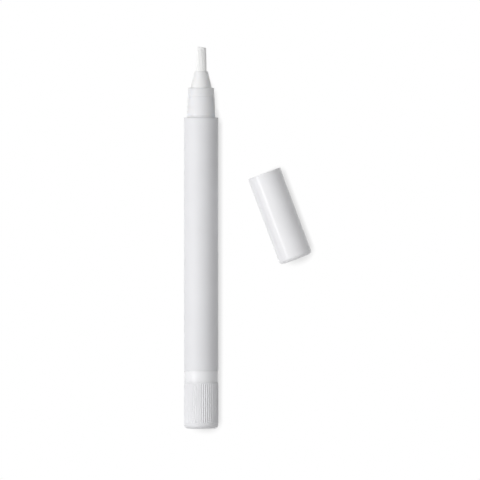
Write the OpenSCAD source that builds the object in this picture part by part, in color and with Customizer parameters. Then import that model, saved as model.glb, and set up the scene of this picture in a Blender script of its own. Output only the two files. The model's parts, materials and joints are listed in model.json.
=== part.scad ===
// Twist pen for nail oil: a brush tip, a barrel of oil, a twist knob, and its cap lying beside it.
// The pen lies on its side along Y with the brush towards +Y, and everything rests on Z = 0.
// Each pen piece is drawn upright, with Z measured from the end of the knob, and then laid down.
// Each cap piece is drawn upright with Z measured from the cap's closed end.

/* [Pen] */
// Outer diameter that the knob, barrel and cap share
pen_d = 12; // [11.7:0.1:12.6]
// Length of the knob
knob_l = 16.4; // [14:0.1:20]
// Length of the collar that shows between knob and barrel
collar_l = 3.65; // [2.5:0.05:6]
// Length of the barrel
barrel_l = 88.6; // [70:0.1:110]
// Length of the neck in front of the barrel
neck_l = 10.3; // [9.5:0.1:12]
// Length of the nozzle cone in front of the neck
cone_l = 5.8; // [5:0.1:8]
// Length of the brush in front of the nozzle
brush_l = 8.7; // [6:0.1:9.4]

/* [Barrel] */
// Wall of the barrel
barrel_wall = 1; // [0.9:0.05:1.1]
// Rounding of the barrel's front edge
barrel_front_edge = 0.35; // [0.2:0.05:0.6]
// Rounding of the barrel's rear edge
barrel_rear_edge = 0.35; // [0.3:0.05:0.6]

/* [Knob] */
// Wall of the knob shell
knob_wall = 1.1; // [1:0.05:1.2]
// Thickness of the knob's end
knob_floor = 1.3; // [1:0.1:2]
// Rounding of the knob's end
knob_edge = 1; // [0.6:0.1:1.2]
// Number of ribs round the knob
rib_count = 48; // [36:1:60]
// Depth of the grooves between the ribs
groove_depth = 0.22; // [0.1:0.02:0.3]
// Width of a groove at the surface
groove_w = 0.44; // [0.3:0.02:0.5]
// Plain length behind the ribs
rib_rear_l = 1.7; // [1.2:0.1:3]
// Plain rim in front of the ribs
rib_front_l = 0.5; // [0.3:0.1:2]
// Length of the core inside the knob
core_l = 8.05; // [7:0.05:8.5]
// Length of the core's wide plug
core_plug_l = 3; // [2:0.1:4]
// Wall of the core's hub
core_wall = 0.9; // [0.7:0.1:1.2]

/* [Collar and sleeve] */
// How far the collar sits below the barrel's surface
collar_step = 0.07; // [0.05:0.01:0.2]
// Rounding of the collar's edges
collar_edge = 0.2; // [0.2:0.05:0.3]
// Wall of the sleeve inside the barrel
sleeve_wall = 0.9; // [0.8:0.05:0.95]
// Length of the bearing land at the sleeve's rear
land_l = 4; // [3:0.1:5]
// Depth of the pocket that the nut is pressed into
nut_pocket = 0.2; // [0.1:0.05:0.3]

/* [Click drive] */
// Outer diameter of the drive tube
drive_d = 5.2; // [5.1:0.05:5.3]
// Width across the two flats at the rear of the drive tube
drive_flat = 4.6; // [4.4:0.1:4.9]
// Length of the ratchet ring
ratchet_l = 4; // [3:0.1:6]
// Number of clicks in a turn
tooth_count = 12; // [8:2:16]
// Diameter at the tips of the ratchet teeth
tooth_tip_d = 6.9; // [6.85:0.05:7]
// Depth of the ratchet teeth
tooth_depth = 0.3; // [0.2:0.05:0.35]
// Length of the click pawls
pawl_l = 3.4; // [2.6:0.1:5]
// Wall of the hub that carries the pawls
pawl_hub_wall = 0.3; // [0.25:0.05:0.35]
// Thickness of a pawl arm
pawl_arm = 0.26; // [0.2:0.02:0.3]

/* [Screw] */
// Advance of the rod in one turn
thread_pitch = 2; // [1.5:0.1:3]
// Diameter of the round section that winds along the rod
thread_d = 3.2; // [3.1:0.05:3.25]
// How far that section stands off the axis, which makes the thread
thread_throw = 0.25; // [0.15:0.05:0.3]
// Width across the rod's two flats
rod_flat = 2.7; // [2.4:0.1:2.9]
// Length of the plain tail behind the thread
rod_tail_l = 6.1; // [5:0.1:8]
// Thread kept behind the nut at full stroke
thread_spare = 2; // [1:0.1:4]
// Length of the nut
nut_l = 6; // [4:0.1:8]
// Diameter of the rod's stem in the piston
stem_d = 2.7; // [2.2:0.1:3]
// Diameter of the rod's head in the piston
head_d = 4; // [3.6:0.1:4.4]
// Length of the rod's head
head_l = 2.2; // [1.6:0.1:2.6]

/* [Piston] */
// Length of the piston
piston_l = 7.4; // [6.6:0.1:10]
// Thickness of the wall behind the rod's head
piston_web = 1.5; // [1:0.1:2]
// Length of the guide land at each end of the piston
piston_land_l = 1.6; // [1.2:0.1:1.8]
// Depth of the waist between the guide lands
piston_waist = 0.35; // [0.2:0.05:0.6]

/* [Seals] */
// Thickness of the two sealing rings
seal_d = 1; // [0.8:0.05:1.1]
// Width of a seal groove beyond the ring's thickness
seal_room = 0.3; // [0.2:0.05:0.5]

/* [Neck] */
// Diameter of the neck's foot, which the cap grips
foot_d = 9.68; // [9.4:0.02:9.7]
// Length of the neck's foot
foot_l = 2.4; // [1.5:0.1:3]
// Length of the flare between barrel and foot
flare_l = 0.9; // [0.5:0.1:1.1]
// Diameter of the neck's front band
band_d = 9.06; // [8.6:0.02:9.2]
// Length of the neck's front band
band_l = 3.05; // [2:0.05:4]
// Step between the tapered middle and the front band
band_step = 0.14; // [0.08:0.02:0.2]
// Rounding of the neck's front rim
rim_edge = 0.25; // [0.1:0.05:0.4]
// Length of the plug that is pressed into the barrel
plug_l = 11.8; // [9:0.1:14]
// Chamfer that leads the plug into the barrel
plug_lead = 0.4; // [0.2:0.1:0.8]
// Distance from the plug's rear end to its seal groove
plug_seal_set = 3; // [2:0.1:5]
// Diameter of the oil channel behind the feed tube
channel_d = 2.4; // [2:0.1:2.8]

/* [Nozzle] */
// Diameter of the nozzle cone at its base
cone_base_d = 7.4; // [7:0.1:7.6]
// Diameter of the nozzle cone behind its lip
cone_tip_d = 4.84; // [4.6:0.02:5.2]
// Height of the rounded lip at the mouth
lip_l = 0.3; // [0.2:0.05:0.5]
// Diameter of the spigot below the cone
spigot_d = 5.8; // [5:0.1:6.2]
// Length of the spigot
spigot_l = 5; // [4:0.1:7]
// Depth of the brush chamber behind the mouth
chamber_l = 4.5; // [4:0.1:4.9]
// Outer diameter of the feed tube
feed_d = 1.8; // [1.6:0.05:2]
// Wall of the feed tube
feed_wall = 0.35; // [0.25:0.05:0.45]
// Length of the feed tube inside the neck
feed_set = 13.1; // [8:0.1:15]

/* [Brush] */
// Diameter of the bundle where it leaves the ferrule
bundle_d = 3.76; // [3.5:0.02:3.8]
// Wall of the ferrule round the bundle
ferrule_wall = 0.17; // [0.12:0.01:0.18]
// How far the ferrule stays behind the mouth
ferrule_inset = 0.4; // [0.2:0.1:0.8]
// Thickness of the fused root of the bundle
root_l = 1; // [0.6:0.1:1.4]
// Number of bristles
bristle_count = 400; // [300:10:420]
// Diameter of a bristle
bristle_d = 0.11; // [0.08:0.005:0.11]
// Height lost from one side of the cut tip to the other
tip_slant = 0.5; // [0:0.05:1]
// Uneven length of the bristles
tip_fray = 0.3; // [0:0.05:0.5]

/* [Cap] */
// Length of the cap
cap_l = 32.1; // [31.5:0.1:45]
// Wall of the cap shell
cap_wall = 0.6; // [0.5:0.05:0.7]
// Thickness of the cap's closed end
cap_floor = 1.6; // [1:0.1:2.5]
// Rounding of the cap's closed end
cap_edge = 1; // [0.6:0.1:1.4]
// Rounding of the cap's open rim
cap_rim_edge = 0.2; // [0.1:0.05:0.25]
// How far the liner sits inside the cap's mouth
liner_inset = 1.2; // [1.1:0.1:1.6]
// Wall of the liner round the brush
liner_wall = 0.7; // [0.5:0.05:1]
// Thickness of the liner's closed end
liner_floor = 0.8; // [0.6:0.1:1.2]
// Room in front of the brush tip when the cap is on
tip_room = 0.8; // [0.4:0.1:1.6]
// Turn of the cap as it lies beside the pen
cap_turn = 20.52; // [5:0.01:30]
// Sideways distance from the pen's axis to the middle of the cap's mouth
cap_x = 21.97; // [20:0.01:30]
// Distance along the pen from the knob's end to the middle of the cap's mouth
cap_y = 89.27; // [70:0.01:100]

/* [Fits] */
// Gap between the knob and the collar
knob_gap = 0.15; // [0.1:0.05:0.3]
// Radial clearance of shafts that turn
run_fit = 0.05; // [0.02:0.01:0.1]
// Radial clearance of the piston in the barrel
piston_fit = 0.03; // [0.02:0.01:0.06]
// Radial clearance of the cap's liner on the neck
cap_fit = 0.04; // [0.02:0.01:0.05]
// End play of faces that turn on each other
thrust_gap = 0.15; // [0.1:0.05:0.2]
// Radial clearance in the thread
thread_gap = 0.12; // [0.1:0.01:0.15]
// Clearance on each flat of the rod
key_gap = 0.07; // [0.05:0.01:0.1]
// Clearance round the ratchet pawls
pawl_gap = 0.07; // [0.05:0.01:0.09]
// Clearance round the rod's stem and head
socket_gap = 0.1; // [0.05:0.01:0.15]
// Gap between pieces that face each other inside the pen
inner_gap = 0.6; // [0.3:0.1:0.8]
// Gap in front of the piston at full stroke
end_gap = 0.4; // [0.2:0.1:0.8]

/* [Hidden] */
$fn = 96;
// How far cuts run past the faces that they cut
over = 0.5;

// Turn from one bristle to the next, and how much the bundle keeps of its width at the tip
golden_turn = 137.508;
golden_share = 0.618;
tip_share = 0.82;
bristle_sides = 3;

// The thread's sections: sides in each, and how many to a turn
thread_sides = 16;
thread_steps = 12;

// Each pawl arm, in shares of a tooth: where its tip starts and ends, where its root starts and ends
pawl_count = 2;
pawl_shares = [0.07, 0.5, 3, 3.5];
ramp_steps = 4;

// Stations along the pen
collar_z = knob_l + knob_gap;
barrel_z = collar_z + collar_l;
neck_z = barrel_z + barrel_l;
cone_z = neck_z + neck_l;
mouth_z = cone_z + cone_l;
tip_z = mouth_z + brush_l;
plug_z = neck_z - plug_l;

// Stations in the knob
core_front_z = knob_floor + core_l;
tail_z = core_front_z + thrust_gap;
land_front_z = tail_z + land_l;
pawl_z = land_front_z + thrust_gap;

// The screw, nut and piston share the length between the knob's end and the plug
rod_z = knob_floor + 2 * inner_gap;
thread_z = rod_z + rod_tail_l;
free_z = thread_z + thread_spare + nut_l + inner_gap + piston_l + end_gap;
stroke = (plug_z - free_z) / 2;
nut_z = thread_z + thread_spare + stroke;
nut_front_z = nut_z + nut_l;
piston_z = nut_front_z + inner_gap;
piston_front_z = piston_z + piston_l;
thread_front_z = nut_front_z + inner_gap / 2;
drive_front_z = nut_z - inner_gap;
head_z = piston_z + piston_web + socket_gap;

// Stations at the tip
foot_z = neck_z + flare_l;
foot_front_z = foot_z + foot_l;
band_z = cone_z - band_l;
spigot_z = cone_z - spigot_l;
chamber_z = mouth_z - chamber_l;
feed_z = cone_z - feed_set;
plug_seal_z = plug_z + plug_seal_set;
seal_groove_l = seal_d + seal_room;

// Radii
pen_r = pen_d / 2;
bore_r = pen_r - barrel_wall;
knob_bore_r = pen_r - knob_wall;
sleeve_bore_r = bore_r - sleeve_wall;
tail_r = knob_bore_r - run_fit;
nut_r = sleeve_bore_r + nut_pocket;
drive_r = drive_d / 2;
rod_r = thread_d / 2 + thread_throw;
key_r = rod_r + socket_gap;
tooth_tip_r = tooth_tip_d / 2;
tooth_root_r = tooth_tip_r + tooth_depth;
piston_r = bore_r - piston_fit;
foot_r = foot_d / 2;
band_r = band_d / 2;
bundle_r = bundle_d / 2;
chamber_r = bundle_r + ferrule_wall;
seal_r = seal_d / 2;

// The cap, measured from its closed end
cap_bore_r = pen_r - cap_wall;
liner_front_z = cap_l - liner_inset;
socket_r = foot_r + cap_fit;
socket_z = cap_l - neck_l - end_gap / 4;
well_r = cone_base_d / 2 + 2 * socket_gap;
// The well takes nozzle and brush, and its closed end stands clear of the cap's
deepest_z = cap_floor + inner_gap + liner_floor;
well_z = max(deepest_z, cap_l - neck_l - cone_l - brush_l - tip_room);
liner_z = well_z - liner_floor;

// Place of the pen and the cap, so that the whole object is centred on the origin
cap_reach = cap_x + (cap_l - cap_edge) * sin(cap_turn) + (pen_r - cap_edge) * cos(cap_turn) + cap_edge;
pen_x = (pen_r - cap_reach) / 2;
pen_y = -tip_z / 2;
cap_end_x = pen_x + cap_x + cap_l * sin(cap_turn);
cap_end_y = pen_y + cap_y - cap_l * cos(cap_turn);

// Lays a pen piece on its side, brush end towards +Y.
module lay_pen() {
    translate([pen_x, pen_y, pen_r])
        rotate([-90, 0, 0])
            children();
}

// Lays a cap piece on its side next to the pen, with its mouth turned away from the pen's knob.
module lay_cap() {
    translate([cap_end_x, cap_end_y, pen_r])
        rotate([0, 0, cap_turn])
            rotate([-90, 0, 0])
                children();
}

// A round bar from z to z + l, with rounded edges at its low and high end.
module round_bar(r, z, l, low_edge, high_edge) {
    translate([0, 0, z])
        rotate_extrude() {
            translate([0, low_edge])
                square([r, l - low_edge - high_edge]);
            square([r - low_edge, l - high_edge]);
            square([r - high_edge, l]);
            translate([r - low_edge, low_edge])
                circle(low_edge);
            translate([r - high_edge, l - high_edge])
                circle(high_edge);
        }
}

// A round hole from z0 to z1, run past either end as asked.
module hole(r, z0, z1, past_low = 0, past_high = 0) {
    translate([0, 0, z0 - past_low])
        cylinder(r = r, h = z1 - z0 + past_low + past_high);
}

// A plain tube from z0 to z1.
module tube(r_out, r_in, z0, z1) {
    difference() {
        hole(r_out, z0, z1);
        hole(r_in, z0, z1, over, over);
    }
}

// A seal groove of the given depth and width cut into a round of radius r.
module seal_groove(r, z, depth, width) {
    difference() {
        hole(r + over, z, z + width);
        hole(r - depth, z, z + width, over, over);
    }
}

// A sealing ring that fills the room between a groove and the bore at radius r.
module seal_ring(r, z) {
    translate([0, 0, z])
        rotate_extrude()
            translate([r - seal_r, 0])
                circle(seal_r);
}

// A flat sector of a ring between two angles.
module ring_sector(r_in, r_out, from, to) {
    intersection() {
        difference() {
            circle(r_out);
            circle(r_in);
        }
        polygon([
            [0, 0],
            for (i = [0:ramp_steps])
                let (a = from + (to - from) * i / ramp_steps) 2 * r_out * [cos(a), sin(a)]
        ]);
    }
}

// The rod's or the nut's thread: a round section that winds about the axis, cut off at two flats.
function wind_section(r, flat, z) = [
    for (i = [0:thread_sides - 1])
        let (
            turn = 360 * z / thread_pitch,
            a = 90 + 360 * i / thread_sides,
            x = thread_throw * cos(turn) + r * cos(a),
            y = thread_throw * sin(turn) + r * sin(a)
        )
        [max(-flat / 2, min(flat / 2, x)), y, z]
];

module thread(r, flat, z0, z1) {
    rings = ceil((z1 - z0) / thread_pitch * thread_steps);
    points = [for (k = [0:rings]) each wind_section(r, flat, z0 + (z1 - z0) * k / rings)];
    sides = [
        for (k = [0:rings - 1])
            for (i = [0:thread_sides - 1])
                let (
                    low = k * thread_sides,
                    high = low + thread_sides,
                    j = (i + 1) % thread_sides
                )
                each [[low + i, high + i, high + j], [low + i, high + j, low + j]]
    ];
    bottom = [for (i = [0:thread_sides - 1]) i];
    top = [for (i = [thread_sides - 1:-1:0]) rings * thread_sides + i];
    polyhedron(points, concat([bottom, top], sides));
}

// The rod's cross-section behind the thread, and the drive tube's hole with a gap added.
module key_section(r, flat) {
    intersection() {
        circle(r);
        square([flat, 2 * r + over], center = true);
    }
}

module barrel() {
    color([0.93, 0.935, 0.94])
        lay_pen()
            difference() {
                round_bar(pen_r, barrel_z, barrel_l, barrel_rear_edge, barrel_front_edge);
                hole(bore_r, barrel_z, neck_z, over, over);
            }
}

module collar_ring() {
    color([0.97, 0.97, 0.965])
        lay_pen()
            difference() {
                round_bar(pen_r - collar_step, collar_z, collar_l, collar_edge, collar_edge);
                hole(bore_r, collar_z, barrel_z, over, over);
            }
}

// Pressed into the barrel: it carries the collar, the ratchet and the nut, and the knob turns on it.
module guide_sleeve() {
    color([0.9, 0.9, 0.88])
        lay_pen()
            difference() {
                union() {
                    hole(tail_r, tail_z, collar_z);
                    hole(bore_r, collar_z, nut_front_z);
                }
                hole(drive_r + run_fit, tail_z, land_front_z, over, over);
                hole(sleeve_bore_r, land_front_z, nut_front_z, 0, over);
                hole(nut_r, nut_z, nut_front_z, 0, over);
            }
}

// A ring of saw teeth: each ramp closes in over one tooth and drops back at its end.
module ratchet_ring() {
    teeth = [
        for (i = [0:tooth_count - 1])
            for (k = [0:ramp_steps])
                let (
                    a = 360 * (i + k / ramp_steps) / tooth_count,
                    r = tooth_root_r - tooth_depth * k / ramp_steps
                )
                r * [cos(a), sin(a)]
    ];
    color([0.85, 0.86, 0.88])
        lay_pen()
            translate([0, 0, land_front_z])
                linear_extrude(ratchet_l)
                    difference() {
                        circle(sleeve_bore_r);
                        polygon(teeth);
                    }
}

// Its thread has no flats: they are set wider than the whole pen.
module rod_nut() {
    color([0.85, 0.86, 0.88])
        lay_pen()
            difference() {
                hole(nut_r, nut_z, nut_front_z);
                thread(thread_d / 2 + thread_gap, pen_d, nut_z - over, nut_front_z + over);
            }
}

module neck() {
    color([0.94, 0.94, 0.935])
        lay_pen()
            difference() {
                rotate_extrude() {
                    polygon([
                        [0, plug_z],
                        [bore_r - plug_lead, plug_z],
                        [bore_r, plug_z + plug_lead],
                        [bore_r, neck_z],
                        [foot_r, foot_z],
                        [foot_r, foot_front_z],
                        [band_r + band_step, band_z - band_step],
                        [band_r, band_z],
                        [band_r, cone_z - rim_edge],
                        [band_r - rim_edge, cone_z - rim_edge],
                        [band_r - rim_edge, cone_z],
                        [0, cone_z]
                    ]);
                    translate([band_r - rim_edge, cone_z - rim_edge])
                        circle(rim_edge);
                }
                seal_groove(bore_r, plug_seal_z, seal_d, seal_groove_l);
                hole(channel_d / 2, plug_z, feed_z, over);
                hole(feed_d / 2, feed_z, spigot_z, over, over);
                hole(spigot_d / 2, spigot_z - end_gap, cone_z, 0, over);
            }
}

module neck_seal() {
    color([0.25, 0.25, 0.26])
        lay_pen()
            seal_ring(bore_r, plug_seal_z + seal_groove_l / 2);
}

module nozzle_cone() {
    color([0.95, 0.95, 0.94])
        lay_pen()
            difference() {
                rotate_extrude()
                    polygon([
                        [0, spigot_z],
                        [spigot_d / 2, spigot_z],
                        [spigot_d / 2, cone_z],
                        [cone_base_d / 2, cone_z],
                        [cone_tip_d / 2, mouth_z - lip_l],
                        [chamber_r + ferrule_wall, mouth_z],
                        [0, mouth_z]
                    ]);
                hole(feed_d / 2, spigot_z, chamber_z, over, over);
                hole(chamber_r, chamber_z, mouth_z, 0, over);
            }
}

module feed_tube() {
    color([0.88, 0.89, 0.9])
        lay_pen()
            tube(feed_d / 2, feed_d / 2 - feed_wall, feed_z, chamber_z);
}

module brush_ferrule() {
    color([0.75, 0.76, 0.78])
        lay_pen()
            tube(chamber_r, bundle_r, chamber_z, mouth_z - ferrule_inset);
}

// Bristles stand at even spacing on a spiral, lean in towards the tip and end in a slanted cut.
function bristle(i) =
    let (
        reach = bundle_r - bristle_d / 2,
        a = i * golden_turn,
        root = reach * sqrt((i + 0.5) / bristle_count) * [cos(a), sin(a)],
        fray = i * golden_share - floor(i * golden_share),
        top_z = tip_z - tip_slant * (1 + root.x / reach) / 2 - tip_fray * fray * norm(root) / reach
    )
    [
        for (end = [0, 1])
            for (k = [0:bristle_sides - 1])
                let (
                    turn = a + 360 * k / bristle_sides,
                    middle = end == 0 ? root : tip_share * root,
                    p = middle + bristle_d / 2 * (end == 0 ? 1 : tip_share) * [cos(turn), sin(turn)]
                )
                [p.x, p.y, end == 0 ? chamber_z + root_l / 2 : top_z]
    ];

module bristles() {
    points = [for (i = [0:bristle_count - 1]) each bristle(i)];
    faces = [
        for (i = [0:bristle_count - 1])
            let (b = 2 * bristle_sides * i)
            each [
                [b, b + 1, b + 2],
                [b + 5, b + 4, b + 3],
                for (k = [0:2])
                    let (j = (k + 1) % bristle_sides)
                    each [[b + k, b + 3 + k, b + 3 + j], [b + k, b + 3 + j, b + j]]
            ]
    ];
    color([0.9, 0.9, 0.89])
        lay_pen() {
            hole(bundle_r, chamber_z, chamber_z + root_l);
            polyhedron(points, faces);
        }
}

module knob_shell() {
    color([0.93, 0.935, 0.94])
        lay_pen()
            difference() {
                round_bar(pen_r, 0, knob_l, knob_edge, collar_edge);
                hole(knob_bore_r, knob_floor, knob_l, 0, over);
                translate([0, 0, rib_rear_l])
                    linear_extrude(knob_l - rib_rear_l - rib_front_l)
                        for (i = [0:rib_count - 1])
                            rotate(360 * i / rib_count)
                                polygon([
                                    [pen_r - groove_depth, 0],
                                    [pen_r + groove_depth, groove_w],
                                    [pen_r + groove_depth, -groove_w]
                                ]);
            }
}

// Pressed into the knob shell, it grips the flats at the rear of the drive tube.
module knob_core() {
    color([0.88, 0.89, 0.9])
        lay_pen()
            difference() {
                union() {
                    hole(knob_bore_r, knob_floor, knob_floor + core_plug_l);
                    hole(drive_r + core_wall, knob_floor, core_front_z);
                }
                translate([0, 0, knob_floor - over])
                    linear_extrude(core_l + 2 * over)
                        key_section(drive_r, drive_flat);
            }
}

// Turns with the knob and lets the rod slide along its two flats.
module drive_tube() {
    color([0.9, 0.9, 0.88])
        lay_pen()
            difference() {
                union() {
                    translate([0, 0, knob_floor])
                        linear_extrude(core_l)
                            key_section(drive_r, drive_flat);
                    hole(drive_r, core_front_z, drive_front_z);
                }
                translate([0, 0, knob_floor - over])
                    linear_extrude(drive_front_z - knob_floor + 2 * over)
                        key_section(key_r, rod_flat + 2 * key_gap);
            }
}

// Two springy arms on a hub: each tip drags over the ratchet's ramps and clicks off their ends.
module click_pawls() {
    hub_r = drive_r + pawl_hub_wall;
    arm_r = tooth_tip_r - pawl_gap;
    tooth_turn = 360 / tooth_count;
    tip_from = pawl_shares[0] * tooth_turn;
    tip_to = pawl_shares[1] * tooth_turn;
    root_from = pawl_shares[2] * tooth_turn;
    root_to = pawl_shares[3] * tooth_turn;
    tip_outline = [
        for (a = [tip_from, tip_to])
            (tooth_root_r - pawl_gap - tooth_depth * a / tooth_turn) * [cos(a), sin(a)]
    ];
    color([0.8, 0.82, 0.85])
        lay_pen()
            translate([0, 0, pawl_z])
                linear_extrude(pawl_l) {
                    difference() {
                        circle(hub_r);
                        circle(drive_r);
                    }
                    for (i = [0:pawl_count - 1])
                        rotate(360 * i / pawl_count) {
                            ring_sector(arm_r - pawl_arm, arm_r, tip_from, root_to);
                            ring_sector(hub_r - pawl_hub_wall / 2, arm_r, root_from, root_to);
                            polygon([
                                tip_outline[0],
                                tip_outline[1],
                                (arm_r - pawl_arm / 2) * [cos(tip_to), sin(tip_to)],
                                (arm_r - pawl_arm / 2) * [cos(tip_from), sin(tip_from)]
                            ]);
                        }
                }
}

// Keyed to the drive tube, it turns through the fixed nut and pushes the piston.
module screw_rod() {
    color([0.92, 0.92, 0.9])
        lay_pen() {
            translate([0, 0, rod_z])
                linear_extrude(rod_tail_l)
                    key_section(rod_r, rod_flat);
            thread(thread_d / 2, rod_flat, thread_z, thread_front_z);
            hole(stem_d / 2, thread_front_z, head_z + head_l);
            hole(head_d / 2, head_z, head_z + head_l);
        }
}

module piston() {
    color([0.86, 0.87, 0.9])
        lay_pen()
            difference() {
                hole(piston_r, piston_z, piston_front_z);
                seal_groove(piston_r, piston_z + piston_land_l, piston_waist, piston_l - 2 * piston_land_l);
                seal_groove(piston_r, piston_z + (piston_l - seal_groove_l) / 2, seal_d, seal_groove_l);
                hole(stem_d / 2 + socket_gap, piston_z, head_z, over, over);
                hole(head_d / 2 + socket_gap, head_z - socket_gap, head_z + head_l + socket_gap);
            }
}

module piston_seal() {
    color([0.25, 0.25, 0.26])
        lay_pen()
            seal_ring(piston_r, piston_z + piston_l / 2);
}

module cap_shell() {
    color([0.96, 0.96, 0.955])
        lay_cap()
            difference() {
                round_bar(pen_r, 0, cap_l, cap_edge, cap_rim_edge);
                hole(cap_bore_r, cap_floor, cap_l, 0, over);
            }
}

// The liner grips the neck's foot, seals on its rim and keeps a well clear for nozzle and brush.
module cap_liner() {
    color([0.93, 0.93, 0.91])
        lay_cap()
            difference() {
                union() {
                    round_bar(well_r + liner_wall, liner_z, liner_front_z - liner_z, liner_floor, 0);
                    hole(cap_bore_r, socket_z - liner_floor, liner_front_z);
                }
                hole(socket_r, socket_z, liner_front_z, 0, over);
                hole(well_r, well_z, socket_z, 0, over);
            }
}

barrel();
collar_ring();
guide_sleeve();
ratchet_ring();
rod_nut();
neck();
neck_seal();
nozzle_cone();
feed_tube();
brush_ferrule();
bristles();
knob_shell();
knob_core();
drive_tube();
click_pawls();
screw_rod();
piston();
piston_seal();
cap_shell();
cap_liner();
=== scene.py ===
import json

import bpy
import numpy as np
from mathutils import Matrix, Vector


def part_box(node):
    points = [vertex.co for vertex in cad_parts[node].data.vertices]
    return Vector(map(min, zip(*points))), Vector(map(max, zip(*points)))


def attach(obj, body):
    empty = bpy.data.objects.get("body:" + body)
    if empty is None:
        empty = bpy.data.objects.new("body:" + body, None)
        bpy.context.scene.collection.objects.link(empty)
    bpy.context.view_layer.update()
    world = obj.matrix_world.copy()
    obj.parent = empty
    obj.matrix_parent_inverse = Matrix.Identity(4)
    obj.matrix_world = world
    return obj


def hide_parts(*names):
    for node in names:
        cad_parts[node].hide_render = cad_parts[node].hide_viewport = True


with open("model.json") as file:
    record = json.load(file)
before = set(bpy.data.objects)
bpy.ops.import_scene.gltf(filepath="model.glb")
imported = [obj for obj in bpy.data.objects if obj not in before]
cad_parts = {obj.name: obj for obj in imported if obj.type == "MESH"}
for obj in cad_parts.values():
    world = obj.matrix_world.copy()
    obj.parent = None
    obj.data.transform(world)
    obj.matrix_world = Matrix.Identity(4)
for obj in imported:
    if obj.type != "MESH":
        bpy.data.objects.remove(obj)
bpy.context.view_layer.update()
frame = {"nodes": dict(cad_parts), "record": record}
mm = 0.001
tiny = 1e-9  # keeps a division by a length in range where the length is nothing
print("frame loaded:", len(frame["nodes"]), "nodes")


# Where the axes of the pen and the cap lie, read from the frame

def axesAt(origin, along):
    up = np.array([0.0, 0.0, 1.0])
    along = np.array(along, float) / np.linalg.norm(along)
    return {"origin": np.array(origin, float), "along": along, "up": up, "across": np.cross(along, up)}


barrelLow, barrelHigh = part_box("barrel")
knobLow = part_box("knob_shell")[0]
capEnd = next(mount for mount in frame["record"]["mounts"] if mount["name"] == "cap_end")
penAxes = axesAt(
    [(barrelLow.x + barrelHigh.x) / 2, knobLow.y, (barrelLow.z + barrelHigh.z) / 2], [0, 1, 0])
capAxes = axesAt(capEnd["pos_m"], [-part for part in capEnd["axis"]])


# point = origin + station * along + radius * (cos(turn) * across + sin(turn) * up), where station and
# radius are in mm and the point is in metres
def placed(axes, station, radius, turn):
    spin = np.cos(turn)[..., None] * axes["across"] + np.sin(turn)[..., None] * axes["up"]
    return axes["origin"] + mm * (station[..., None] * axes["along"] + radius[..., None] * spin)


# Meshes

def newObject(name, data):
    made = bpy.data.objects.new(name, data)
    bpy.context.scene.collection.objects.link(made)
    return made


# One piece from its points and faces, smooth except where faces meet at more than the sharp angle. Where
# the volume inside the faces comes out negative, they point inwards, and every face is turned over.
def newPiece(name, points, quads, triangles, body, material, sharpAngle=40.0):
    halves = np.vstack([quads[:, [0, 1, 2]], quads[:, [0, 2, 3]], triangles])
    first, second, third = (points[halves[:, corner]] - points.mean(axis=0) for corner in range(3))
    if np.einsum("ij,ij->i", first, np.cross(second, third)).sum() < 0:
        quads = quads[:, ::-1]
        triangles = triangles[:, ::-1]
    mesh = bpy.data.meshes.new(name)
    mesh.from_pydata(points.tolist(), [], quads.tolist() + triangles.tolist())
    mesh.polygons.foreach_set("use_smooth", np.ones(len(mesh.polygons), bool))
    mesh.set_sharp_from_angle(angle=np.radians(sharpAngle))
    mesh.materials.append(material)
    piece = newObject(name, mesh)
    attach(piece, body)
    return piece


# Quads between neighbouring rows of a grid of points whose columns close on themselves
def gridFaces(rows, columns, closedRows):
    last = rows if closedRows else rows - 1
    row, column = np.meshgrid(np.arange(last), np.arange(columns), indexing="ij")
    nextRow, nextColumn = (row + 1) % rows, (column + 1) % columns
    corners = [row * columns + column, nextRow * columns + column,
               nextRow * columns + nextColumn, row * columns + nextColumn]
    return np.stack(corners, -1).reshape(-1, 4)


# A fan of triangles from one pole to a ring of points
def fanFaces(pole, ringStart, columns, flip):
    column = np.arange(columns)
    fan = np.stack([np.full(columns, pole), ringStart + column, ringStart + (column + 1) % columns], -1)
    return fan[:, ::-1] if flip else fan


# An outline of straight runs with rounded corners, each given as (station, radius, rounding). The two runs
# at a corner are cut back by rounding * tan(half the turn), and the arc between them has the points
# centre + rounding * (cos, sin). A run longer than three guards also gets a point at the guard distance
# from each end, and one longer than two strides gets more of them, about a stride apart, so that the
# shading of a corner doesn't spread along it.
def outline(corners, closed=True, guard=0.05, stride=1.5, arcStep=11.0, fewestSteps=3):
    count = len(corners)
    path = []
    for index in range(count):
        here, rounding = np.array(corners[index][:2], float), corners[index][2]
        before, after = np.array(corners[index - 1][:2]), np.array(corners[(index + 1) % count][:2])
        if rounding <= 0 or (not closed and index in (0, count - 1)):
            path.append(here[None])
            continue
        inward = (here - before) / np.linalg.norm(here - before)
        outward = (after - here) / np.linalg.norm(after - here)
        turn = np.arccos(np.clip(inward @ outward, -1, 1))
        tangent = here - rounding * np.tan(turn / 2) * inward
        side = np.sign(inward[0] * outward[1] - inward[1] * outward[0])
        centre = tangent + side * rounding * np.array([-inward[1], inward[0]])
        first = np.arctan2(*(tangent - centre)[::-1])
        steps = max(fewestSteps, int(np.ceil(np.degrees(turn) / arcStep)))
        sweep = first + side * turn * np.linspace(0, 1, steps + 1)
        path.append(centre + rounding * np.stack([np.cos(sweep), np.sin(sweep)], -1))
    runs = []
    for index in range(count if closed else count - 1):
        start, end = path[index][-1], path[(index + 1) % count][0]
        length = np.linalg.norm(end - start)
        inside = [guard, length - guard] if length > 3 * guard else []
        if length > 2 * stride:
            steps = np.linspace(guard, length - guard, int(length / stride) + 1)
            inside = np.r_[guard, steps[1:-1], length - guard]
        runs.append(start + np.outer(inside, end - start) / max(length, tiny))
    joined = [part for index in range(count) for part in (path[index], *runs[index:index + 1])]
    return np.concatenate([part for part in joined if len(part)])


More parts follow.
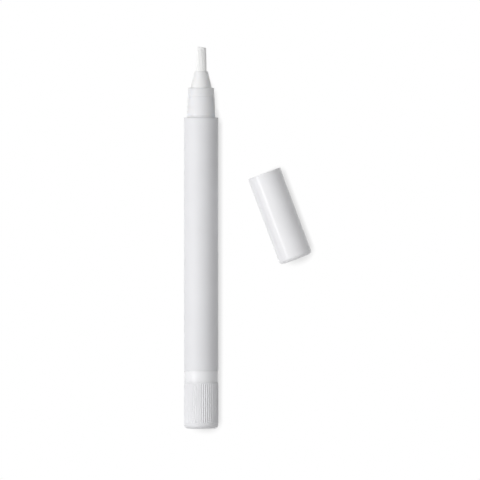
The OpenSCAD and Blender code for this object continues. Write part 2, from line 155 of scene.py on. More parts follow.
# An outline of (station, radius) carried once round the axis. Row k and column j of the grid stand at the
# station and radius of the outline's point k, which relief(station, radius, turn) changes where it is
# given, and at the turn 2 pi j / columns. An outline that isn't closed starts and ends on the axis, and a
# fan closes it there.
def turned(name, axes, path, columns, closed, body, material, relief=None):
    rows = path if closed else path[1:-1]
    turn = 2 * np.pi * np.arange(columns) / columns
    station, turnGrid = np.meshgrid(rows[:, 0], turn, indexing="ij")
    radius = np.repeat(rows[:, 1][:, None], columns, axis=1)
    if relief is not None:
        radius = relief(station, radius, turnGrid)
    points = placed(axes, station, radius, turnGrid).reshape(-1, 3)
    quads = gridFaces(len(rows), columns, closed)
    triangles = np.empty((0, 3), int)
    if not closed:
        count = len(points)
        firstFan = fanFaces(count, 0, columns, False)
        lastFan = fanFaces(count + 1, count - columns, columns, True)
        triangles = np.vstack([firstFan, lastFan])
        poles = path[[0, -1]]
        points = np.vstack([points, placed(axes, poles[:, 0], poles[:, 1], np.zeros(2))])
    return newPiece(name, points, quads, triangles, body, material)


# Shared effects, as node groups whose outputs only feed colour, roughness and bump

effectSizes = {"cloudSpan": (0.3, 0.7), "wavesPerMetre": 260.0, "smudgesPerMetre": 140.0,
               "smudgeSpan": (0.45, 0.75), "hairStretch": (5200.0, 240.0, 5200.0),
               "hairSpan": (0.62, 0.72)}


def newGroup(name, inputs, outputs):
    group = bpy.data.node_groups.new(name, "ShaderNodeTree")
    for socketName, kind, value in inputs:
        socket = group.interface.new_socket(name=socketName, in_out="INPUT", socket_type=kind)
        if value is not None:
            socket.default_value = value
    for socketName, kind in outputs:
        group.interface.new_socket(name=socketName, in_out="OUTPUT", socket_type=kind)
    return group, group.nodes.new("NodeGroupInput"), group.nodes.new("NodeGroupOutput")


# A number is written on the socket, and anything else is linked to it
def feed(tree, value, socket):
    if isinstance(value, (int, float)):
        socket.default_value = value
    else:
        tree.links.new(value, socket)


def addMath(tree, operation, first, second=None, clamp=False):
    node = tree.nodes.new("ShaderNodeMath")
    node.operation = operation
    node.use_clamp = clamp
    feed(tree, first, node.inputs[0])
    if second is not None:
        feed(tree, second, node.inputs[1])
    return node.outputs[0]


def addNoise(tree, vector, scale, detail=2.0, roughness=0.5):
    node = tree.nodes.new("ShaderNodeTexNoise")
    feed(tree, vector, node.inputs["Vector"])
    feed(tree, scale, node.inputs["Scale"])
    feed(tree, detail, node.inputs["Detail"])
    feed(tree, roughness, node.inputs["Roughness"])
    return node.outputs["Fac"]


def addRange(tree, value, fromMin, fromMax, toMin, toMax):
    node = tree.nodes.new("ShaderNodeMapRange")
    names = ("Value", "From Min", "From Max", "To Min", "To Max")
    for socketName, number in zip(names, (value, fromMin, fromMax, toMin, toMax)):
        feed(tree, number, node.inputs[socketName])
    return node.outputs["Result"]


def addScaledColor(tree, color, factor):
    node = tree.nodes.new("ShaderNodeVectorMath")
    node.operation = "SCALE"
    tree.links.new(color, node.inputs[0])
    tree.links.new(factor, node.inputs["Scale"])
    return node.outputs[0]


def addColorMix(tree, factor, first, second):
    node = tree.nodes.new("ShaderNodeMix")
    node.data_type = "RGBA"
    node.inputs["A"].default_value = (*first, 1)
    node.inputs["B"].default_value = (*second, 1)
    tree.links.new(factor, node.inputs["Factor"])
    return node.outputs["Result"]


def addStretch(tree, vector, scale):
    node = tree.nodes.new("ShaderNodeMapping")
    node.inputs["Scale"].default_value = scale
    tree.links.new(vector, node.inputs["Vector"])
    return node.outputs["Vector"]


def addAttribute(tree, name):
    node = tree.nodes.new("ShaderNodeAttribute")
    node.attribute_name = name
    return node.outputs["Fac"]


# Colour of a moulded plastic: the base colour, a little darker or lighter in slow clouds
def makeCloudyTint(sizes):
    group, given, result = newGroup(
        "cloudyTint",
        [("Vector", "NodeSocketVector", None), ("Color", "NodeSocketColor", (0.8, 0.8, 0.8, 1)),
         ("Clouds Per Metre", "NodeSocketFloat", 90.0), ("Amount", "NodeSocketFloat", 0.02)],
        [("Color", "NodeSocketColor")])
    cloud = addNoise(group, given.outputs["Vector"], given.outputs["Clouds Per Metre"], detail=3.0)
    low = addMath(group, "SUBTRACT", 1.0, given.outputs["Amount"])
    high = addMath(group, "ADD", 1.0, given.outputs["Amount"])
    factor = addRange(group, cloud, *sizes["cloudSpan"], low, high)
    group.links.new(addScaledColor(group, given.outputs["Color"], factor), result.inputs["Color"])
    return group


# Surface of the mould: fine spark grain plus long shallow waves, in one height from 0 to 1
def makeMouldGrain(sizes):
    group, given, result = newGroup(
        "mouldGrain",
        [("Vector", "NodeSocketVector", None), ("Grains Per Metre", "NodeSocketFloat", 9000.0),
         ("Grain Share", "NodeSocketFloat", 0.5)],
        [("Height", "NodeSocketFloat")])
    grain = addNoise(group, given.outputs["Vector"], given.outputs["Grains Per Metre"], roughness=0.6)
    wave = addNoise(group, given.outputs["Vector"], sizes["wavesPerMetre"], detail=1.0)
    fine = addMath(group, "MULTIPLY", grain, given.outputs["Grain Share"])
    rest = addMath(group, "SUBTRACT", 1.0, given.outputs["Grain Share"])
    slow = addMath(group, "MULTIPLY", wave, rest)
    group.links.new(addMath(group, "ADD", fine, slow), result.inputs["Height"])
    return group


# Roughness of a handled surface: the clean value, raised in smudges and along fine hairlines
def makeHandled(sizes):
    group, given, result = newGroup(
        "handled",
        [("Vector", "NodeSocketVector", None), ("Clean", "NodeSocketFloat", 0.3),
         ("Smudge", "NodeSocketFloat", 0.05), ("Hairlines", "NodeSocketFloat", 0.03)],
        [("Roughness", "NodeSocketFloat")])
    cloud = addNoise(group, given.outputs["Vector"], sizes["smudgesPerMetre"], detail=4.0, roughness=0.65)
    smudge = addRange(group, cloud, *sizes["smudgeSpan"], 0.0, 1.0)
    stretched = addStretch(group, given.outputs["Vector"], sizes["hairStretch"])
    hair = addRange(group, addNoise(group, stretched, 1.0, detail=1.0), *sizes["hairSpan"], 0.0, 1.0)
    raised = addMath(group, "MULTIPLY", smudge, given.outputs["Smudge"])
    lined = addMath(group, "MULTIPLY", hair, given.outputs["Hairlines"])
    total = addMath(group, "ADD", addMath(group, "ADD", given.outputs["Clean"], raised), lined)
    group.links.new(total, result.inputs["Roughness"])
    return group


# Parting line of a two-part mould: 1 at the height where the halves met, falling to 0 within the width
def makePartingLine():
    group, given, result = newGroup(
        "partingLine",
        [("Vector", "NodeSocketVector", None), ("Line Height", "NodeSocketFloat", 0.006),
         ("Width", "NodeSocketFloat", 0.00008)],
        [("Mask", "NodeSocketFloat")])
    split = group.nodes.new("ShaderNodeSeparateXYZ")
    group.links.new(given.outputs["Vector"], split.inputs[0])
    above = addMath(group, "SUBTRACT", split.outputs["Z"], given.outputs["Line Height"])
    mask = addRange(group, addMath(group, "ABSOLUTE", above), 0.0, given.outputs["Width"], 1.0, 0.0)
    group.links.new(mask, result.inputs["Mask"])
    return group


cloudyTint = makeCloudyTint(effectSizes)
mouldGrain = makeMouldGrain(effectSizes)
handled = makeHandled(effectSizes)
partingLine = makePartingLine()


# Materials

def foundNode(tree, kind):
    return next(node for node in tree.nodes if node.type == kind)


def newMaterial(name):
    material = bpy.data.materials.new(name)
    material.use_nodes = True
    tree = material.node_tree
    return material, tree, foundNode(tree, "BSDF_PRINCIPLED")


def addPlace(tree):
    return tree.nodes.new("ShaderNodeTexCoord").outputs["Object"]


def useGroup(tree, group, place, **values):
    node = tree.nodes.new("ShaderNodeGroup")
    node.node_tree = group
    tree.links.new(place, node.inputs["Vector"])
    for socketName, value in values.items():
        node.inputs[socketName.replace("_", " ")].default_value = value
    return node.outputs[0]


def bumpInto(tree, shader, height, strength, distance):
    bump = tree.nodes.new("ShaderNodeBump")
    bump.inputs["Strength"].default_value = strength
    bump.inputs["Distance"].default_value = distance
    tree.links.new(height, bump.inputs["Height"])
    tree.links.new(bump.outputs["Normal"], shader.inputs["Normal"])


# What every moulded plastic starts from, and what each one changes. The whites were fitted to the
# photograph, and the colours of the inner pieces are guessed.
plainPlastic = {"color": (0.8, 0.8, 0.8), "clouds": 0.012, "roughness": 0.45, "smudge": 0.02, "grain": 0.5,
                "bump": 0.10, "bumpDistance": 0.00004, "seam": 0.0, "ior": 1.5, "specular": 0.5,
                "subsurface": 0.0, "scatter": (1.0, 0.95, 0.9), "reach": 0.0012,
                "coat": 0.0, "coatRoughness": 0.03, "coatIor": 1.6}
plasticFinishes = {
    "satinWhite": {"color": (0.857, 0.858, 0.878), "roughness": 0.42, "smudge": 0.05, "grain": 0.55,
                   "specular": 0.25},
    "glossWhite": {"color": (0.958, 0.958, 0.976), "roughness": 0.30, "smudge": 0.035, "grain": 0.05,
                   "bump": 0.015, "specular": 0.1, "coat": 0.6, "coatRoughness": 0.07},
    "ringWhite": {"color": (0.920, 0.920, 0.940), "roughness": 0.22, "smudge": 0.04, "grain": 0.05,
                  "bump": 0.02, "specular": 0.45},
    "naturalWhite": {"color": (0.886, 0.886, 0.903), "roughness": 0.48, "smudge": 0.03, "grain": 0.65,
                     "bump": 0.12, "seam": 0.35, "specular": 0.4, "subsurface": 0.70, "reach": 0.0020},
    "nozzleWhite": {"color": (0.925, 0.925, 0.923), "roughness": 0.42, "smudge": 0.03, "grain": 0.6,
                    "seam": 0.3, "specular": 0.6, "subsurface": 0.35, "reach": 0.0008},
    "innerPlastic": {"color": (0.800, 0.810, 0.800), "bump": 0.12},
    "screwPlastic": {"color": (0.840, 0.840, 0.800), "roughness": 0.38, "grain": 0.4},
    "pistonPlastic": {"color": (0.750, 0.770, 0.800), "roughness": 0.33, "grain": 0.4, "bump": 0.08,
                      "subsurface": 0.15},
}


# Moulded plastic: clouded colour, handled roughness, and a bump of grain, waves and any parting line
def makePlastic(name, finish):
    material, tree, shader = newMaterial(name)
    place = addPlace(tree)
    tint = useGroup(tree, cloudyTint, place, Color=(*finish["color"], 1), Amount=finish["clouds"])
    tree.links.new(tint, shader.inputs["Base Color"])
    rough = useGroup(tree, handled, place, Clean=finish["roughness"], Smudge=finish["smudge"])
    tree.links.new(rough, shader.inputs["Roughness"])
    height = useGroup(tree, mouldGrain, place, Grain_Share=finish["grain"])
    if finish["seam"] > 0:
        seam = addMath(tree, "MULTIPLY", useGroup(tree, partingLine, place), finish["seam"])
        height = addMath(tree, "ADD", height, seam)
    bumpInto(tree, shader, height, finish["bump"], finish["bumpDistance"])
    shader.inputs["IOR"].default_value = finish["ior"]
    shader.inputs["Specular IOR Level"].default_value = finish["specular"]
    shader.inputs["Subsurface Weight"].default_value = finish["subsurface"]
    shader.inputs["Subsurface Radius"].default_value = finish["scatter"]
    shader.inputs["Subsurface Scale"].default_value = finish["reach"]
    shader.inputs["Coat Weight"].default_value = finish["coat"]
    shader.inputs["Coat Roughness"].default_value = finish["coatRoughness"]
    shader.inputs["Coat IOR"].default_value = finish["coatIor"]
    return material


rubberFinish = {"color": (0.045, 0.045, 0.048), "dust": (0.10, 0.10, 0.10), "specksPerMetre": 3200.0,
                "speckSpan": (0.55, 0.8), "roughness": 0.62, "smudge": 0.1, "peelPerMetre": 5200.0,
                "bump": 0.25, "bumpDistance": 0.00005}


# Moulded rubber: near black, dusted lighter in specks, with a fine orange-peel bump
def makeRubber(finish):
    material, tree, shader = newMaterial("sealRubber")
    place = addPlace(tree)
    specks = addNoise(tree, place, finish["specksPerMetre"], detail=3.0, roughness=0.7)
    dust = addRange(tree, specks, *finish["speckSpan"], 0.0, 1.0)
    tree.links.new(addColorMix(tree, dust, finish["color"], finish["dust"]), shader.inputs["Base Color"])
    rough = useGroup(tree, handled, place, Clean=finish["roughness"], Smudge=finish["smudge"])
    tree.links.new(rough, shader.inputs["Roughness"])
    peel = addNoise(tree, place, finish["peelPerMetre"])
    bumpInto(tree, shader, peel, finish["bump"], finish["bumpDistance"])
    return material


steelFinish = {"color": (0.60, 0.61, 0.62), "clouds": 0.05, "hairStretch": (700.0, 26000.0, 700.0),
               "hairSpan": (0.3, 0.7), "roughness": (0.18, 0.36), "bump": 0.15, "bumpDistance": 0.00002}


# Rolled stainless: bright metal with hairlines that run round the ferrule
def makeSteel(finish):
    material, tree, shader = newMaterial("ferruleSteel")
    place = addPlace(tree)
    shader.inputs["Metallic"].default_value = 1.0
    stretched = addStretch(tree, place, finish["hairStretch"])
    hair = addNoise(tree, stretched, 1.0, detail=3.0, roughness=0.6)
    rough = addRange(tree, hair, *finish["hairSpan"], *finish["roughness"])
    tree.links.new(rough, shader.inputs["Roughness"])
    tint = useGroup(tree, cloudyTint, place, Color=(*finish["color"], 1), Amount=finish["clouds"])
    tree.links.new(tint, shader.inputs["Base Color"])
    bumpInto(tree, shader, hair, finish["bump"], finish["bumpDistance"])
    return material


nylonFinish = {"root": (0.985, 0.985, 0.980), "tip": (0.930, 0.930, 0.925), "change": (0.25, 0.8),
               "tone": (0.93, 1.01), "roughness": (0.32, 0.5), "grainsPerMetre": 14000.0,
               "bump": 0.06, "bumpDistance": 0.00002, "ior": 1.55, "specular": 1.0}


# Nylon filament: paler at the root than at the cut tip, each strand with its own tone and gloss
def makeNylon(finish):
    material, tree, shader = newMaterial("bristleNylon")
    place = addPlace(tree)
    tone = addAttribute(tree, "strandTone")
    change = addRange(tree, addAttribute(tree, "strandReach"), *finish["change"], 0.0, 1.0)
    ownTone = addRange(tree, tone, 0.0, 1.0, *finish["tone"])
    color = addScaledColor(tree, addColorMix(tree, change, finish["root"], finish["tip"]), ownTone)
    tree.links.new(color, shader.inputs["Base Color"])
    tree.links.new(addRange(tree, tone, 0.0, 1.0, *finish["roughness"]), shader.inputs["Roughness"])
    grain = addNoise(tree, place, finish["grainsPerMetre"], detail=1.0)
    bumpInto(tree, shader, grain, finish["bump"], finish["bumpDistance"])
    shader.inputs["IOR"].default_value = finish["ior"]
    shader.inputs["Specular IOR Level"].default_value = finish["specular"]
    return material


finishes = {name: makePlastic(name, {**plainPlastic, **changes}) for name, changes in plasticFinishes.items()}
finishes["sealRubber"] = makeRubber(rubberFinish)
finishes["ferruleSteel"] = makeSteel(steelFinish)
finishes["bristleNylon"] = makeNylon(nylonFinish)
print("materials made")


# Barrel: a plain tube with soft ends

barrelSizes = {"start": 20.20, "end": 108.80, "radius": 6.0, "bore": 5.0,
               "rearEdge": 0.22, "frontEdge": 0.35, "boreEdge": 0.12, "columns": 192}


# The rectangle from start to end and from bore to radius, with its corners rounded, carried round the axis
def makeBarrel(sizes):
    path = outline([
        (sizes["start"], sizes["radius"], sizes["rearEdge"]),
        (sizes["end"], sizes["radius"], sizes["frontEdge"]),
        (sizes["end"], sizes["bore"], sizes["boreEdge"]),
        (sizes["start"], sizes["bore"], sizes["boreEdge"])])
    barrel = turned("barrelTube", penAxes, path, sizes["columns"], True, "pen",
                    finishes["satinWhite"])
    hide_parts("barrel")


makeBarrel(barrelSizes)
print("barrel made")


# Collar: a glossy ring between barrel and knob

collarSizes = {"start": 16.43, "end": 20.20, "radius": 5.95, "bore": 5.0,
               "edge": 0.05, "boreEdge": 0.1, "columns": 192}


# The rectangle from start to end and from bore to radius, with small edges, carried round the axis
def makeCollar(sizes):
    path = outline([
        (sizes["start"], sizes["radius"], sizes["edge"]),
        (sizes["end"], sizes["radius"], sizes["edge"]),
        (sizes["end"], sizes["bore"], sizes["boreEdge"]),
        (sizes["start"], sizes["bore"], sizes["boreEdge"])])
    collar = turned("collarBand", penAxes, path, sizes["columns"], True, "pen",
                    finishes["ringWhite"])
    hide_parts("collar_ring")


makeCollar(collarSizes)
print("collar made")


# Closed ends of knob and cap, each with a mould's gate mark in the middle, which is a guess

gateSizes = {"radius": 0.7, "depth": 0.06, "edge": 0.05, "rimWidth": 0.12, "rimEdge": 0.08}


# A disc sunk by the gate's depth with a soft rim, then a flat middle that bends back by the dome's height
# on its way to the side, where the end edge rounds it off
def closedEnd(gate, sizes):
    return [(gate["depth"], 0.0, 0), (gate["depth"], gate["radius"], gate["edge"]),
            (0.0, gate["radius"] + gate["rimWidth"], gate["rimEdge"]),
            (0.0, sizes["domeStart"], sizes["domeRounding"]),
            (sizes["dome"], sizes["radius"], sizes["endEdge"])]


# Knob: ribs all round, a plain rim in front, a slightly domed closed end

knobSizes = {"length": 16.4, "radius": 6.0, "bore": 4.9, "floor": 1.3, "endEdge": 1.35, "dome": 0.30,
             "domeStart": 3.0, "domeRounding": 25.0, "rimEdge": 0.05, "boreEdge": 0.1, "floorEdge": 0.3,
             "ribs": 48, "samplesPerRib": 14, "grooveDepth": 0.155, "ribPhase": 0.227,
             "ribStart": 1.95, "ribEnd": 15.9, "runOut": 0.25}


# A cup with its closed end at station 0 and grooves outside, carried round the axis
def makeKnob(sizes):
    # radius - depth * (0.5 - 0.5 cos(ribs * turn - 2 pi * phase)), fading over the run-out at both ends
    def ribRelief(station, radius, turn):
        wave = 0.5 - 0.5 * np.cos(sizes["ribs"] * turn - 2 * np.pi * sizes["ribPhase"])
        fadeIn = np.clip((station - sizes["ribStart"]) / sizes["runOut"], 0, 1)
        fadeOut = np.clip((sizes["ribEnd"] - station) / sizes["runOut"], 0, 1)
        outside = radius > (sizes["bore"] + sizes["radius"]) / 2
        return radius - np.where(outside, sizes["grooveDepth"] * (fadeIn * fadeOut) * wave, 0.0)

    start, end, runOut = sizes["ribStart"], sizes["ribEnd"], sizes["runOut"]
    ribStops = (start, start + runOut, end - runOut, end)
    path = outline([
        *closedEnd(gateSizes, sizes),
        *[(stop, sizes["radius"], 0) for stop in ribStops],
        (sizes["length"], sizes["radius"], sizes["rimEdge"]),
        (sizes["length"], sizes["bore"], sizes["boreEdge"]),
        (sizes["floor"], sizes["bore"], sizes["floorEdge"]),
        (sizes["floor"], 0.0, 0)], closed=False)
    knob = turned("knobShell", penAxes, path, sizes["ribs"] * sizes["samplesPerRib"], False, "knob",
                  finishes["satinWhite"], relief=ribRelief)
    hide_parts("knob_shell")


makeKnob(knobSizes)
print("knob made")


# Neck: flare, foot, tapered middle and front band outside; seal groove and oil channel inside

neckSizes = {"plug": 97.0, "shoulder": 108.8, "foot": 109.7, "footFront": 112.1, "band": 116.05,
             "front": 119.1, "plugRadius": 5.0, "plugLead": 0.4, "footRadius": 4.84, "bandRadius": 4.53,
             "bandStep": 0.14, "sealStart": 100.0, "sealEnd": 101.3, "sealDepth": 1.0, "channel": 1.2,
             "feed": 0.9, "feedStart": 106.0, "spigotStart": 113.7, "spigot": 2.9, "flareEdge": 0.4,
             "footEdge": 0.3, "rimEdge": 0.25, "softEdge": 0.1, "sharpEdge": 0.05, "columns": 160}


# Outside from the plug forward to the front rim, inside from the spigot's bore back along the channel,
# as one closed outline carried round the axis
def makeNeck(sizes):
    soft, sharp = sizes["softEdge"], sizes["sharpEdge"]
    groove = sizes["plugRadius"] - sizes["sealDepth"]
    path = outline([
        (sizes["plug"], sizes["plugRadius"] - sizes["plugLead"], sharp),
        (sizes["plug"] + sizes["plugLead"], sizes["plugRadius"], soft),
        (sizes["sealStart"], sizes["plugRadius"], sharp),
        (sizes["sealStart"], groove, soft),
        (sizes["sealEnd"], groove, soft),
        (sizes["sealEnd"], sizes["plugRadius"], sharp),
        (sizes["shoulder"], sizes["plugRadius"], soft),
        (sizes["foot"], sizes["footRadius"], sizes["flareEdge"]),
        (sizes["footFront"], sizes["footRadius"], sizes["footEdge"]),
        (sizes["band"] - sizes["bandStep"], sizes["bandRadius"] + sizes["bandStep"], sharp),
        (sizes["band"], sizes["bandRadius"], sharp),
        (sizes["front"], sizes["bandRadius"], sizes["rimEdge"]),
        (sizes["front"], sizes["spigot"], soft),
        (sizes["spigotStart"], sizes["spigot"], soft),
        (sizes["spigotStart"], sizes["feed"], sharp),
        (sizes["feedStart"], sizes["feed"], sharp),
        (sizes["feedStart"], sizes["channel"], sharp),
        (sizes["plug"], sizes["channel"], soft)])
    neck = turned("neckPiece", penAxes, path, sizes["columns"], True, "pen",
                  finishes["naturalWhite"])
    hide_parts("neck")


makeNeck(neckSizes)
print("neck made")


# Nozzle: a cone on a spigot, with a rounded lip round the brush

nozzleSizes = {"spigotStart": 114.1, "base": 119.1, "mouth": 124.9, "lip": 0.3, "spigotRadius": 2.9,
               "baseRadius": 3.7, "tipRadius": 2.42, "lipRadius": 2.22, "chamber": 2.05,
               "chamberStart": 120.4, "feed": 0.9, "spigotEdge": 0.2, "baseEdge": 0.12, "tipEdge": 0.25,
               "lipEdge": 0.08, "mouthEdge": 0.04, "innerEdge": 0.05, "columns": 144}


# Spigot, step out to the cone's base, straight taper to the lip, then the brush chamber and the feed
# tube's bore inside, as one closed outline carried round the axis
def makeNozzle(sizes):
    path = outline([
        (sizes["spigotStart"], sizes["spigotRadius"], sizes["spigotEdge"]),
        (sizes["base"], sizes["spigotRadius"], 0),
        (sizes["base"], sizes["baseRadius"], sizes["baseEdge"]),
        (sizes["mouth"] - sizes["lip"], sizes["tipRadius"], sizes["tipEdge"]),
        (sizes["mouth"], sizes["lipRadius"], sizes["lipEdge"]),
        (sizes["mouth"], sizes["chamber"], sizes["mouthEdge"]),
        (sizes["chamberStart"], sizes["chamber"], sizes["innerEdge"]),
        (sizes["chamberStart"], sizes["feed"], sizes["innerEdge"]),
        (sizes["spigotStart"], sizes["feed"], sizes["innerEdge"])])
    nozzle = turned("nozzleCone", penAxes, path, sizes["columns"], True, "pen",
                    finishes["nozzleWhite"])
    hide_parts("nozzle_cone")


makeNozzle(nozzleSizes)
print("nozzle made")


# Brush: fine strands on a spiral of even spacing, leaning over to a slanted cut

brushSizes = {"root": 120.4, "mouth": 124.9, "tip": 133.6, "radius": 1.92, "tipShare": 0.80,
              "strands": 2200, "thickness": 0.13, "thinning": 0.25, "sides": 4, "rings": 6,
              "spiralTurn": 137.508, "scatter": 0.008, "slant": 0.5, "fray": 0.12, "frayInside": 0.3,
              "bendPower": 1.25, "wave": 0.03, "waveTurns": (1.2, 1.05), "lean": 0.18,
              "sharpAngle": 70.0, "seed": 7}


def makeBrush(sizes):
    random = np.random.default_rng(sizes["seed"])
    count, sides, rings = sizes["strands"], sizes["sides"], sizes["rings"]
    strand = np.arange(count)
    # strand i of n stands at the radius room * sqrt((i + 0.5) / n) and at i times the spiral's turn
    room = sizes["radius"] - sizes["thickness"] / 2
    reach = room * np.sqrt((strand + 0.5) / count)
    turn = np.radians(sizes["spiralTurn"]) * strand
    rootPlace = reach[:, None] * np.stack([np.cos(turn), np.sin(turn)], -1)
    rootPlace += random.normal(0, sizes["scatter"], rootPlace.shape)
    # the cut slopes across the bundle, and frays by a random length that is greatest at the outside
    top = sizes["tip"] - sizes["slant"] * (1 + rootPlace[:, 0] / sizes["radius"]) / 2
    outer = sizes["frayInside"] + (1 - sizes["frayInside"]) * reach / sizes["radius"]
    top = top - sizes["fray"] * random.random(count) ** 2 * outer
    # with t from 0 at the root to 1 at the tip, a strand runs straight to the mouth; from there its place
    # closes in as 1 - (1 - tipShare) * bend(t) and leans over by lean * bend(t), and a slow wave of its own
    # pushes it sideways
    t = np.linspace(0, 1, rings)
    station = sizes["root"] + (top - sizes["root"])[:, None] * t
    free = (station - sizes["mouth"]) / (top - sizes["mouth"])[:, None]
    bend = np.clip(free, 0, 1) ** sizes["bendPower"]
    closing = 1 - (1 - sizes["tipShare"]) * bend
    phase = random.uniform(0, 2 * np.pi, (count, 2))
    swing = np.sin(2 * np.pi * np.outer(t, sizes["waveTurns"]) + phase[:, None])
    middle = rootPlace[:, None, :] * closing[..., None] + sizes["wave"] * bend[..., None] * swing
    radius = np.linalg.norm(middle, axis=-1, keepdims=True)
    middle *= np.minimum(1, room * closing[..., None] / np.maximum(radius, tiny))
    middle[..., 0] += sizes["lean"] * bend
    # each strand is a four-sided bar that thins a little towards its tip
    around = 2 * np.pi * np.arange(sides) / sides + random.uniform(0, 2 * np.pi, count)[:, None]
    thick = sizes["thickness"] / 2 * (1 - sizes["thinning"] * t ** 3)
    ring = thick[None, :, None, None] * np.stack([np.cos(around), np.sin(around)], -1)[:, None]
    flat = middle[:, :, None, :] + ring
    across, up = flat[..., 0], flat[..., 1]
    points = placed(penAxes, np.repeat(station[..., None], sides, -1), np.hypot(across, up),
                    np.arctan2(up, across)).reshape(-1, 3)
    # the sides wind as the grid does, and a lid closes each end of a strand
    start = (strand * rings * sides)[:, None, None]
    walls = (gridFaces(rings, sides, False)[None] + start).reshape(-1, 4)
    low = np.arange(sides)[None] + start[:, 0]
    high = (rings - 1) * sides + low[:, ::-1]
    brush = newPiece("brushStrands", points, np.vstack([walls, low, high]), np.empty((0, 3), int),
                     "pen", finishes["bristleNylon"], sizes["sharpAngle"])
    tone = np.repeat(random.random(count), rings * sides)
    along = np.tile(np.repeat(t, sides), count)
    for name, values in (("strandTone", tone), ("strandReach", along)):
        layer = brush.data.attributes.new(name, "FLOAT", "POINT")
        layer.data.foreach_set("value", values.astype(np.float32))
    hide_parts("bristles")


makeBrush(brushSizes)
print("brush made")


# Cap: a glossy shell with a liner that shows in its mouth

capSizes = {"length": 32.1, "radius": 6.0, "bore": 5.4, "floor": 1.6, "endEdge": 1.3, "dome": 0.15,
            "domeStart": 3.0, "domeRounding": 40.0, "rimEdge": 0.2, "boreEdge": 0.15, "floorEdge": 0.4,
            "columns": 192}


# A cup with its slightly domed closed end at station 0, carried round the cap's axis
def makeCapShell(sizes):
    path = outline([
        *closedEnd(gateSizes, sizes),
        (sizes["length"], sizes["radius"], sizes["rimEdge"]),
        (sizes["length"], sizes["bore"], sizes["boreEdge"]),
        (sizes["floor"], sizes["bore"], sizes["floorEdge"]),
        (sizes["floor"], 0.0, 0)], closed=False)
    shell = turned("capShell", capAxes, path, sizes["columns"], False, "cap",
                   finishes["glossWhite"])
    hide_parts("cap_shell")


linerSizes = {"end": 5.7, "wellFloor": 6.5, "socket": 21.7, "front": 30.9, "wellRadius": 3.9,
              "socketRadius": 4.88, "outerWell": 4.6, "outerSocket": 5.4, "step": 20.9, "endEdge": 0.8,
              "frontEdge": 0.05, "leadEdge": 0.2, "wellEdge": 0.15, "wellFloorEdge": 0.5, "stepEdge": 0.1,
              "columns": 144}


# A cup with two bores, the wide socket for the neck and the narrower well for the brush, carried round
# the cap's axis
def makeCapLiner(sizes):
    path = outline([
        (sizes["end"], 0.0, 0),
        (sizes["end"], sizes["outerWell"], sizes["endEdge"]),
        (sizes["step"], sizes["outerWell"], sizes["stepEdge"]),
        (sizes["step"], sizes["outerSocket"], sizes["stepEdge"]),
        (sizes["front"], sizes["outerSocket"], sizes["frontEdge"]),
        (sizes["front"], sizes["socketRadius"], sizes["leadEdge"]),
        (sizes["socket"], sizes["socketRadius"], sizes["stepEdge"]),
        (sizes["socket"], sizes["wellRadius"], sizes["wellEdge"]),
        (sizes["wellFloor"], sizes["wellRadius"], sizes["wellFloorEdge"]),
        (sizes["wellFloor"], 0.0, 0)], closed=False)
    liner = turned("capLiner", capAxes, path, sizes["columns"], False, "cap",
                   finishes["innerPlastic"])
    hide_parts("cap_liner")


makeCapShell(capSizes)
makeCapLiner(linerSizes)
print("cap made")


# Finishes of the pieces inside, which keep their CAD shape

insideFinishes = {
    "innerPlastic": ["guide_sleeve", "ratchet_ring", "rod_nut", "feed_tube", "knob_core", "drive_tube",
                     "click_pawls"],
    "screwPlastic": ["screw_rod"],
    "pistonPlastic": ["piston"],
    "sealRubber": ["neck_seal", "piston_seal"],
    "ferruleSteel": ["brush_ferrule"],
}
for finishName, nodeNames in insideFinishes.items():
    for nodeName in nodeNames:
        mesh = frame["nodes"][nodeName].data
        mesh.materials.clear()
        mesh.materials.append(finishes[finishName])
print("inside pieces finished")


# Floor, lights and camera, whose values were fitted to the photograph

stageSizes = {"floorReach": 4.0, "paper": 0.96, "paperRoughness": 0.9, "shadowReach": 0.0043,
              "shadowFrom": (-0.63, -0.03, 0.77), "shadowTone": 0.734, "shadowSpan": (0.50, 0.84),
              "shadowSamples": 24, "skyLight": 0.03, "pixel": 0.3493 * mm, "photoPixels": 480,
              "viewX": -2.72 * mm, "viewY": -0.82 * mm, "cameraHeight": 0.6}


def addMixShader(tree, factor, first, second):
    node = tree.nodes.new("ShaderNodeMixShader")
    for number, socket in enumerate((factor, first, second)):
        tree.links.new(socket, node.inputs[number])
    return node.outputs[0]


# 1 for rays that see the surroundings, straight on or through a mirror or glass, and 0 for those that
# only light
def addSeen(tree):
    ray = tree.nodes.new("ShaderNodeLightPath")
    straight = addMath(tree, "ADD", ray.outputs["Is Camera Ray"], ray.outputs["Is Glossy Ray"])
    return addMath(tree, "ADD", straight, ray.outputs["Is Transmission Ray"], clamp=True)


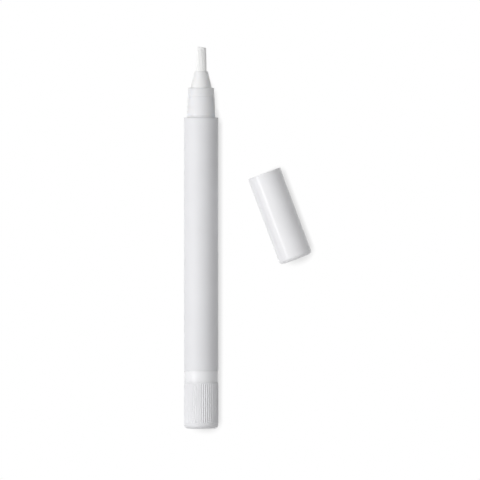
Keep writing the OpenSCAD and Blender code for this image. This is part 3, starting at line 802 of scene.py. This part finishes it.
# Floor paper: pale and matt as it lights the pieces. Seen straight on and in reflections it is a white
# emission with a painted shadow, darkened to a tone where an occlusion test towards the light from the left
# finds pieces close by
def makeFloor(sizes):
    reach = sizes["floorReach"]
    mesh = bpy.data.meshes.new("floor")
    corners = [(-reach, -reach, 0), (reach, -reach, 0), (reach, reach, 0), (-reach, reach, 0)]
    mesh.from_pydata(corners, [], [(0, 1, 2, 3)])
    floor = newObject("floor", mesh)
    material, tree, shader = newMaterial("floorPaper")
    shader.inputs["Base Color"].default_value = (sizes["paper"], sizes["paper"], sizes["paper"], 1)
    shader.inputs["Roughness"].default_value = sizes["paperRoughness"]
    shader.inputs["Specular IOR Level"].default_value = 0.0
    # Painted shadow: ambient occlusion towards the left, not a lamp's shadow, sets how far the white darkens
    paintedShadowCover = tree.nodes.new("ShaderNodeAmbientOcclusion")
    paintedShadowCover.samples = sizes["shadowSamples"]
    paintedShadowCover.inputs["Distance"].default_value = sizes["shadowReach"]
    towards = tree.nodes.new("ShaderNodeCombineXYZ")
    for axis, value in enumerate(sizes["shadowFrom"]):
        towards.inputs[axis].default_value = value
    tree.links.new(towards.outputs[0], paintedShadowCover.inputs["Normal"])
    paintedShadow = tree.nodes.new("ShaderNodeEmission")
    tone = addRange(tree, paintedShadowCover.outputs["AO"], *sizes["shadowSpan"], sizes["shadowTone"], 1.0)
    tree.links.new(tone, paintedShadow.inputs["Strength"])
    surface = addMixShader(tree, addSeen(tree), shader.outputs[0], paintedShadow.outputs[0])
    tree.links.new(surface, foundNode(tree, "OUTPUT_MATERIAL").inputs["Surface"])
    mesh.materials.append(material)


# Sky: white for the camera and in reflections, and dim where it lights the pieces
def makeSky(sizes):
    world = bpy.data.worlds.new("studio")
    bpy.context.scene.world = world
    world.use_nodes = True
    tree = world.node_tree
    background = foundNode(tree, "BACKGROUND")
    background.inputs["Color"].default_value = (1, 1, 1, 1)
    strength = addRange(tree, addSeen(tree), 0.0, 1.0, sizes["skyLight"], 1.0)
    tree.links.new(strength, background.inputs["Strength"])


# Of the lamps, only the strip shows in reflections, as the bright line along the cap
lampSizes = {
    "strip": {"place": (-0.720, 0.210, 0.566), "towards": (-0.016, 0.210, 0.006), "size": (0.26, 1.00),
              "power": 3.1, "mirrored": True},
    "softbox": {"place": (-0.800, -0.150, 1.280), "towards": (0.0, 0.0, 0.006), "size": (0.8, 1.4),
                "power": 7.15, "mirrored": False},
    "overhead": {"place": (0.0, 0.0, 1.500), "towards": (0.0, 0.0, 0.006), "size": (1.6, 1.6),
                 "power": 11.0, "mirrored": False},
}


# An area lamp whose -Z looks at its target, with its long side along Y
def makeLamp(name, sizes):
    data = bpy.data.lights.new(name, "AREA")
    data.shape = "RECTANGLE"
    data.size, data.size_y = sizes["size"]
    data.energy = sizes["power"]
    lamp = newObject(name, data)
    back = np.array(sizes["place"]) - np.array(sizes["towards"])
    back = back / np.linalg.norm(back)
    wide = np.cross([0.0, 1.0, 0.0], back)
    wide = wide / np.linalg.norm(wide)
    turn = np.eye(4)
    turn[:3] = np.stack([wide, np.cross(back, wide), back, sizes["place"]], -1)
    lamp.matrix_world = Matrix(turn.tolist())
    lamp.visible_glossy = sizes["mirrored"]


# Straight down from above, without perspective, as the photograph looks
def makeCamera(sizes):
    data = bpy.data.cameras.new("camera")
    data.type = "ORTHO"
    data.ortho_scale = sizes["pixel"] * sizes["photoPixels"]
    camera = newObject("camera", data)
    camera.location = (sizes["viewX"], sizes["viewY"], sizes["cameraHeight"])
    bpy.context.scene.camera = camera


makeFloor(stageSizes)
makeSky(stageSizes)
for lampName, lampValues in lampSizes.items():
    makeLamp(lampName, lampValues)
makeCamera(stageSizes)
bpy.context.scene.view_settings.view_transform = "Standard"
print("stage made")
